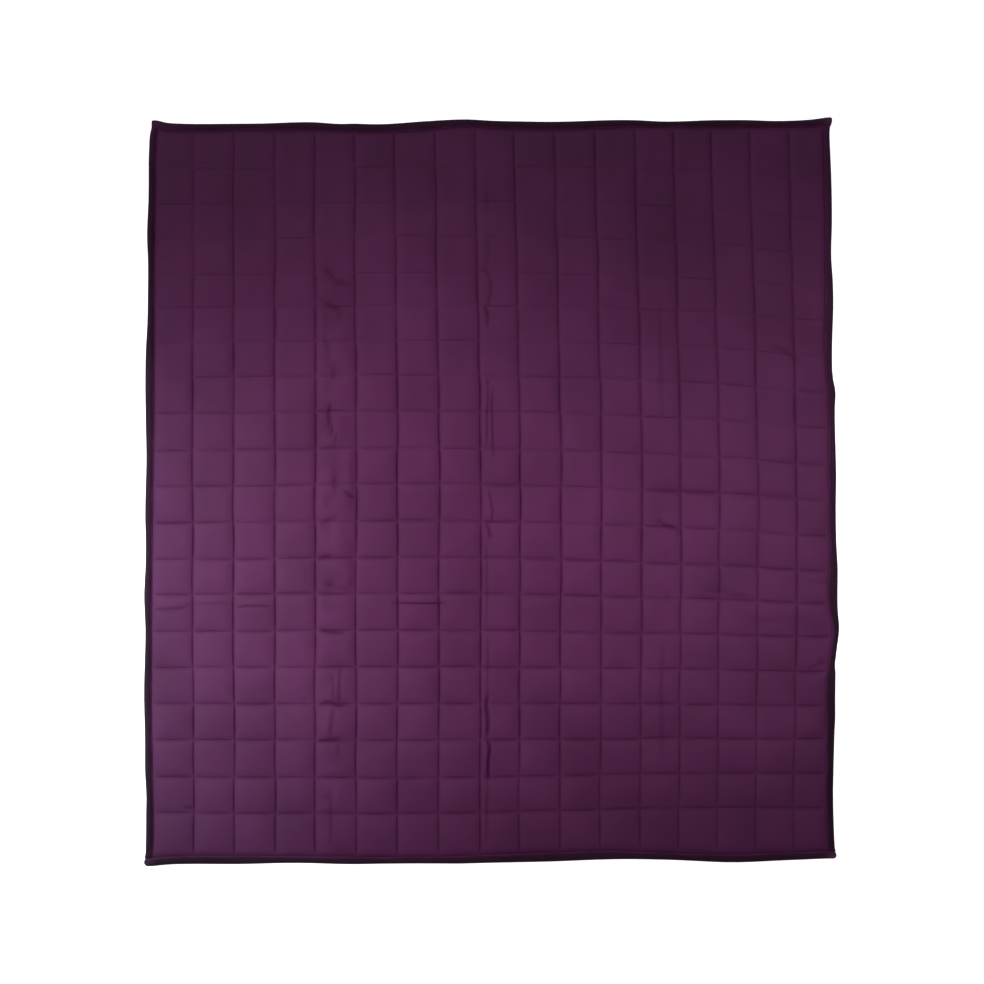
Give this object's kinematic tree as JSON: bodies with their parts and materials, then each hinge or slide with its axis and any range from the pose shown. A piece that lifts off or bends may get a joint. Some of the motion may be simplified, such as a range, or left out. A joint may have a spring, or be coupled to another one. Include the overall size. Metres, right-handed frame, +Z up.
{
  "type": "throw blanket",
  "caption": "Square-quilted throw blanket laid flat: filled pockets between sewn seams, with a darker bound edge and small corner ears.",
  "frame": {"origin": "centre of the blanket's box at the surface that it lies on", "axes": "+Y along the longer side, towards the blanket's top edge, +X across it, +Z up out of its face"},
  "size_m": [1.4282, 1.5356, 0.0111],
  "materials": {
    "quilt_cloth": "satiny deep purple",
    "binding_cloth": "darker purple, slightly satiny"
  },
  "bodies": {
    "root": {"quilted_body": "quilt_cloth", "binding_top": "binding_cloth", "binding_bottom": "binding_cloth", "binding_left": "binding_cloth", "binding_right": "binding_cloth"}
  },
  "joints": []
}
